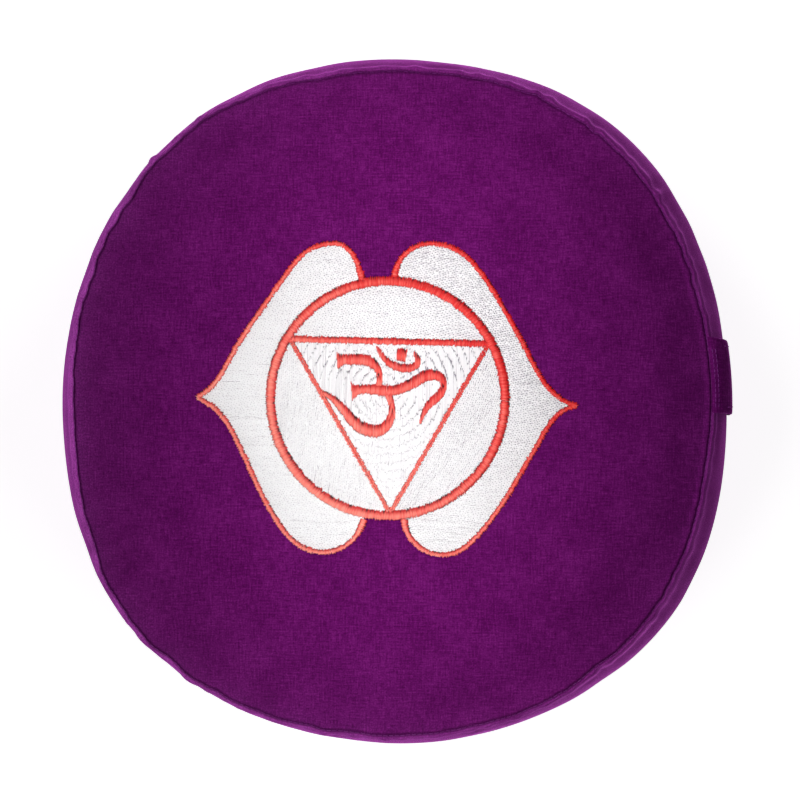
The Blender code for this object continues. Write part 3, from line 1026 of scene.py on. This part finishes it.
# The points of each stroke: x, y and the stroke's width.
SIGN_STROKES = [
    [  # the upper bar, and its curl down to the middle one
        (-26.7, 18.9, 9.6), (-25.6, 19.0, 6.2), (-23.2, 19.4, 4.2), (-18.6, 19.7, 4.7),
        (-13.5, 19.8, 4.8), (-9.9, 18.9, 4.5), (-7.0, 16.9, 3.7), (-5.0, 13.6, 2.8),
        (-4.4, 10.3, 2.4), (-4.9, 5.5, 2.4),
    ],
    [  # the middle bar, its hook to the right and the tail
        (-18.8, 3.3, 9.6), (-17.7, 3.4, 6.2), (-16.0, 4.0, 4.1), (-12.1, 4.3, 3.7),
        (-7.6, 4.4, 4.3), (-3.0, 3.9, 4.9), (2.1, 3.9, 4.4), (6.8, 5.0, 4.5),
        (11.3, 7.1, 4.4), (15.9, 10.1, 5.0), (20.0, 12.4, 4.7), (24.0, 12.7, 4.5),
        (27.0, 11.6, 3.8), (28.6, 9.2, 2.8), (28.7, 6.1, 2.7), (27.1, 2.7, 3.7),
        (23.9, -0.4, 3.9), (21.0, -3.1, 3.2), (19.1, -6.4, 2.2), (17.8, -9.7, 1.3),
        (17.1, -12.6, 0.4),
    ],
    [  # the lower bowl, from the middle bar round to its long point
        (-0.1, 3.2, 3.4), (1.6, -1.7, 2.7), (2.3, -5.0, 2.7), (2.2, -8.8, 3.2),
        (1.1, -12.2, 3.9), (-1.3, -15.3, 4.8), (-5.2, -17.2, 5.7), (-9.7, -16.8, 6.0),
        (-14.2, -15.1, 5.7), (-19.2, -10.7, 4.8), (-22.9, -6.4, 3.8), (-26.7, -2.2, 2.9),
        (-29.9, 0.3, 2.1), (-33.1, 2.1, 1.2), (-34.8, 3.0, 0.3),
    ],
    [  # the crescent over them
        (-6.2, 26.7, 0.3), (-4.8, 23.9, 1.5), (-2.2, 20.2, 2.0), (0.4, 18.1, 2.8),
        (3.7, 16.6, 3.2), (7.0, 15.7, 3.3), (10.2, 15.6, 3.2), (13.0, 16.3, 3.2),
        (15.0, 18.3, 2.6), (15.2, 20.6, 2.1), (14.3, 22.6, 1.8), (12.9, 23.9, 0.9),
    ],
    [  # the dot
        (4.1, 22.6, 5.6), (6.6, 22.5, 5.7), (9.1, 22.1, 6.2),
    ],
]


def stroke_outline(stroke):
    """The outline of a swelling stroke, rounded between its points."""
    stroke = np.array(stroke)
    line, width = stroke[:, :2], stroke[:, 2]
    lengths = along_line(line)
    fine = np.linspace(0, lengths[-1], 200)
    spread = np.exp(-(((fine[:, None] - fine) / SIGN_ROUNDING) ** 2))
    spread /= spread.sum(axis=1)[:, None]
    middle = spread @ points_along(line, fine)
    middle[0], middle[-1] = line[0], line[-1]
    half = spread @ np.interp(fine, lengths, width) / 2 + SIGN_SPREAD
    way = np.gradient(middle, axis=0)
    way /= np.linalg.norm(way, axis=1)[:, None]
    out = np.stack([-way[:, 1], way[:, 0]], axis=1) * half[:, None]
    return np.concatenate([middle + out, (middle - out)[::-1]])


def satin_holes(row, level, left, right):
    """A long upright stitch is broken, in places that change from row to row."""
    count = math.ceil((right - left) / LONGEST_SATIN)
    places = np.linspace(left, right, count + 1)[1:-1]
    return places + rng.uniform(-BREAK_SHAKE, BREAK_SHAKE, len(places))


sign = []
for stroke in SIGN_STROKES:
    starts, ends = fill_rows(stroke_outline(stroke), 90.0, SIGN_PITCH, satin_holes)
    reach = np.linalg.norm(ends - starts, axis=1)
    ragged = rng.normal(0, SIGN_RAGGED, (2, len(starts)))
    starts[:, 1] += ragged[0] - SATIN_OVERLAP / 2
    ends[:, 1] += ragged[1] + SATIN_OVERLAP / 2
    arches = np.clip(reach * SIGN_ARCH_SHARE, *SIGN_ARCHES)
    widths = rng.uniform(0.42, 0.54, len(starts))
    sign.append(on_cloth(starts, ends, widths, arches, 0.15))
satin_sign = sew("satin_sign", satin_stitch, sign, SATIN_HEIGHT, fullness=3)
finish_sewing(satin_sign, red_rayon)


# The carry strap. A strip of the same cotton, its long edges folded in and stitched down,
# sewn flat into the top and the bottom seam so that it lies along the band.

STRAP_WIDTH = 0.0385
STRAP_MIDDLE_Y = 0.0129
STRAP_TOP = 0.1282
STRAP_FOOT = 0.0105
STRAP_THICKNESS = 0.0016
STRAP_ACROSS = 18
STRAP_ALONG = 56
STRAP_STARTS_OUT = 0.185
SOLID_FACE_Y = (-0.0054, 0.0310)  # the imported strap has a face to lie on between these
SOLID_FACE_Z = (0.0125, 0.1268)
STRAP_HELD_ENDS = 0.002
STRAP_FRAMES = 12
SLACK_COTTON = {
    "quality": 6,
    "mass": 0.3,
    "tension_stiffness": 20,
    "compression_stiffness": 20,
    "bending_stiffness": 1.5,
    "shrink_min": -0.008,
}
SLACK_CAPS = (-0.0008, 0.0022)

bpy.ops.object.select_all(action="DESELECT")
bpy.ops.mesh.primitive_grid_add(
    x_subdivisions=STRAP_ALONG,
    y_subdivisions=STRAP_ACROSS,
    size=1,
    location=(STRAP_STARTS_OUT, STRAP_MIDDLE_Y, (STRAP_TOP + STRAP_FOOT) / 2),
    rotation=(0, math.pi / 2, 0),
)
strap = bpy.context.object
strap.name = "strap"
strap.scale = (STRAP_TOP - STRAP_FOOT, STRAP_WIDTH, 1)
bpy.ops.object.transform_apply(location=True, rotation=True, scale=True)

solid_strap = tree_of(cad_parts["carry_strap"].data)
cut = points_of(strap.data)
laid = cut.copy()
for number, (_, y, z) in enumerate(cut):
    start = (1, np.clip(y, *SOLID_FACE_Y), np.clip(z, *SOLID_FACE_Z))
    laid[number, 0] = met_at(solid_strap, start, INWARDS).x - STRAP_THICKNESS / 2
move_points(strap.data, laid)

at_ends = (cut[:, 2] > STRAP_TOP - STRAP_HELD_ENDS) | (cut[:, 2] < STRAP_FOOT + STRAP_HELD_ENDS)
settle_as_cloth(strap, at_ends, SLACK_COTTON, STRAP_FRAMES, gravity=1.0)
laid[:, 0] += np.clip(points_of(strap.data)[:, 0] - laid[:, 0], *SLACK_CAPS)

# The hems: a groove under each row of stitches and a soft swell between them.
HEM = 0.0032
HEM_GROOVE = 0.0005
HEM_GROOVE_WIDTH = 0.07  # of half the strap's width
STRAP_SWELL = 0.0004
SWELL_EDGE = 0.75
SWELL_FADE = 0.5
STRAP_ENDS_FADE = 0.03
across = (cut[:, 1] - STRAP_MIDDLE_Y) / (STRAP_WIDTH / 2)
hem_line = 1 - HEM / (STRAP_WIDTH / 2)
laid[:, 0] -= HEM_GROOVE * np.exp(-(((abs(across) - hem_line) / HEM_GROOVE_WIDTH) ** 2))
laid[:, 0] += STRAP_SWELL * ease((SWELL_EDGE - abs(across)) / SWELL_FADE)

# How far the strap stands out from its solid at its waist, by its place along Y.
STRAP_STANDS_OUT = [
    (-0.0064, -0.0024), (-0.0052, -0.0005), (-0.0042, 0.0001), (-0.0025, -0.0001),
    (0.0010, -0.0009), (0.0060, -0.0016), (0.0140, -0.0013), (0.0220, -0.0002),
    (0.0285, 0.0007), (0.0306, -0.0001), (0.0322, -0.0012),
]
to_top = STRAP_TOP - cut[:, 2]
at_waist = ease(to_top / STRAP_ENDS_FADE) * ease(cut[:, 2] / STRAP_ENDS_FADE)
laid[:, 0] += np.interp(cut[:, 1], *zip(*STRAP_STANDS_OUT)) * at_waist

# Its upper end goes over the seam's rib and down into the groove: how far down the strap,
# how far out from the groove and how high.
OVER_RIB = [
    (0.0000, 0.0000, 0.1274),
    (0.0021, 0.0010, 0.1299),
    (0.0042, 0.0032, 0.1291),
    (0.0063, 0.0052, 0.1274),
    (0.0084, 0.0070, 0.1253),
    (0.0105, 0.0086, 0.1230),
    (0.0126, 0.0099, 0.1206),
    (0.0147, 0.0109, 0.1180),
    (0.0168, 0.0117, 0.1153),
    (0.0189, 0.0123, 0.1126),
    (0.0210, 0.0128, 0.1098),
    (0.0252, 0.0136, 0.1046),
    (0.0294, 0.0142, 0.0996),
]
RIB_PATH_END = 0.0300
RIB_PATH_BLEND = 0.0140
seam_line = points_of(cover.data)[abs(top_rows) < ON_ROW]
beside = (seam_line[:, 0] > 0) & (abs(seam_line[:, 1] - STRAP_MIDDLE_Y) < 0.7 * STRAP_WIDTH)
seam_round = np.polyfit(seam_line[beside, 1], seam_line[beside, 0], 2)
going_over = ease((RIB_PATH_END - to_top) / RIB_PATH_BLEND)
rib_down, rib_out, rib_height = np.array(OVER_RIB).T
over_x = np.polyval(seam_round, cut[:, 1]) + np.interp(to_top, rib_down, rib_out)
over_z = np.interp(to_top, rib_down, rib_height)
laid[:, 0] += (over_x - laid[:, 0]) * going_over
laid[:, 2] += (over_z - laid[:, 2]) * going_over

# It is a little crumpled at the top, its foot turns in under the band, its upper corner on
# the +Y side is pulled wide, and lower down it runs a little to the other side.
CRUMPLE = 0.0004
CRUMPLE_WAVES = [(1.0, 0.0019, 0.7), (0.6, 0.0041, -1.3)]  # share, length and slant of each
CRUMPLE_START = 0.004
CRUMPLE_RISE = 0.003
CRUMPLE_FADE = 0.016
FOOT_TURNS_IN = 0.0030
FOOT_TURN_LENGTH = 0.004
CORNER_PULL = 0.0018
STRAP_SLANT = 0.0015
crumple = sum(
    share * np.sin(to_top / length + slant * across) for share, length, slant in CRUMPLE_WAVES
)
crumple *= np.exp(-to_top / CRUMPLE_FADE) * ease((to_top - CRUMPLE_START) / CRUMPLE_RISE)
laid[:, 0] += CRUMPLE * crumple
laid[:, 0] -= FOOT_TURNS_IN * ease(1 - (cut[:, 2] - STRAP_FOOT) / FOOT_TURN_LENGTH)
laid[:, 1] += CORNER_PULL * ease(across) * ease(1 - to_top / STRAP_ENDS_FADE)
laid[:, 1] -= STRAP_SLANT * ease(to_top / STRAP_ENDS_FADE)

# Between its ends it lies on the band, never in it.
STRAP_AIR = 0.0005
OVER_SEAM = 0.014
ABOVE_FOOT = 0.008
on_band = (to_top > OVER_SEAM) & (laid[:, 2] > STRAP_FOOT + ABOVE_FOOT)
for number in np.nonzero(on_band)[0]:
    band_at = met_at(cover_tree, (1, laid[number, 1], laid[number, 2]), INWARDS).x
    laid[number, 0] = max(laid[number, 0], band_at + STRAP_THICKNESS / 2 + STRAP_AIR)
move_points(strap.data, laid)

corners = np.empty(len(strap.data.loops), int)
strap.data.loops.foreach_get("vertex_index", corners)
strap.data.uv_layers.active.name = "grain"
strap.data.uv_layers["grain"].data.foreach_set("uv", cut[corners, 1:].ravel())

# Where it stands out most it is painted paler, as painted sheen like that on the band's rim.
STRAP_SHEEN = 0.35
SHEEN_FROM = 0.02
SHEEN_TO = 0.112
SHEEN_FADES = (0.03, 0.025)
low_fade = ease((laid[:, 2] - SHEEN_FROM) / SHEEN_FADES[0])
high_fade = ease((SHEEN_TO - laid[:, 2]) / SHEEN_FADES[1])
set_attribute(strap.data, "painted_sheen", STRAP_SHEEN * high_fade * low_fade)
make_active(strap)
thickness = strap.modifiers.new("thickness", "SOLIDIFY")
thickness.thickness = STRAP_THICKNESS
thickness.offset = 0
bpy.ops.object.modifier_apply(modifier=thickness.name)
subdivide(strap)
strap.data.shade_smooth()
strap.data.materials.append(cotton)
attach(strap, "root")
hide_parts("carry_strap")


# The seam and hem stitches. Lockstitches in matching cotton thread: one row down in each
# of the two seams that close the cover, one along each hem of the strap and two across it.

SEAM_STITCH = 0.0030
HEM_STITCH = 0.0026
STITCH_GAP = 0.0006
HEM_STITCH_WIDTH = 0.45
HEM_STITCH_ARCH = 0.15
HEM_STITCH_LIFT = -0.1
CLEAR_OF_ENDS = 0.004
END_ROWS_OUT = (0.0016, 0.0034)  # how far outside the seam's line
# The sewing thread is painted in deeper shade towards the upper right and darker at its needle
# holes, as painted shade.
SEWING_THREAD = "8e4694"
SEWING_THREAD_PAINTED_SHADE = "6c2472"
SEWING_THREAD_HOLE_SHADE = "44104a"

strap_tree = tree_of(strap.data)


def seam_stitches(rows_name, tilt):
    """Stitches along the floor of a seam, tilted this far up from level, in degrees."""
    points = points_of(cover.data)[abs(attribute_of(cover.data, rows_name)) < ON_ROW]
    points = points[np.argsort(angles_of(points))]
    ring = np.concatenate([points, points[:1]])
    places = np.arange(0, along_line(ring)[-1] - SEAM_STITCH, SEAM_STITCH)
    starts = points_along(ring, places)
    ends = points_along(ring, places + SEAM_STITCH - STITCH_GAP)
    ups = starts * [1, 1, 0]
    ups /= np.linalg.norm(ups, axis=1)[:, None]
    ups = ups * math.cos(math.radians(tilt)) + [0, 0, math.sin(math.radians(tilt))]
    return laid_stitches(starts, ends, ups, 0.5, 0.2, 0.0)


def strap_stitches(first, last, onto_strap, ups):
    """Stitches on the strap from one place to another. onto_strap finds a place on it."""
    step = math.copysign(HEM_STITCH, last - first)
    gap = math.copysign(STITCH_GAP, last - first)
    places = np.arange(first, last, step)
    starts = np.array([onto_strap(place) for place in places])
    ends = np.array([onto_strap(place) for place in places + step - gap])
    return laid_stitches(starts, ends, ups, HEM_STITCH_WIDTH, HEM_STITCH_ARCH, HEM_STITCH_LIFT)


half_width = STRAP_WIDTH / 2 - HEM
low_hem, high_hem = STRAP_MIDDLE_Y - half_width, STRAP_MIDDLE_Y + half_width
rows = [seam_stitches("top_row", tilt=70), seam_stitches("base_row", tilt=-10)]
for hem in (low_hem, high_hem):
    rows.append(
        strap_stitches(
            STRAP_TOP - CLEAR_OF_ENDS,
            STRAP_FOOT + CLEAR_OF_ENDS,
            lambda z: met_at(strap_tree, (1, hem, z), INWARDS),
            (1.0, 0.0, 0.0),
        )
    )
for out in END_ROWS_OUT:
    rows.append(
        strap_stitches(
            low_hem,
            high_hem - HEM_STITCH,
            lambda y: met_at(strap_tree, (np.polyval(seam_round, y) + out, y, 1), DOWN),
            (0.3, 0.0, 0.954),
        )
    )
sewing_thread = spun_thread(
    "dyed_cotton_thread", SEWING_THREAD, SEWING_THREAD_PAINTED_SHADE, SEWING_THREAD_HOLE_SHADE, (0.3, 0.5), 0.0
)
fuzz = {"Sheen Weight": 0.5, "Sheen Tint": (1, 0.16, 1, 1)}
set_inputs(sewing_thread.node_tree.nodes["Principled BSDF"], fuzz)
lockstitches = sew("lockstitches", satin_stitch, rows, height=0.4, fullness=4)
finish_sewing(lockstitches, sewing_thread)
bpy.data.objects.remove(satin_stitch)
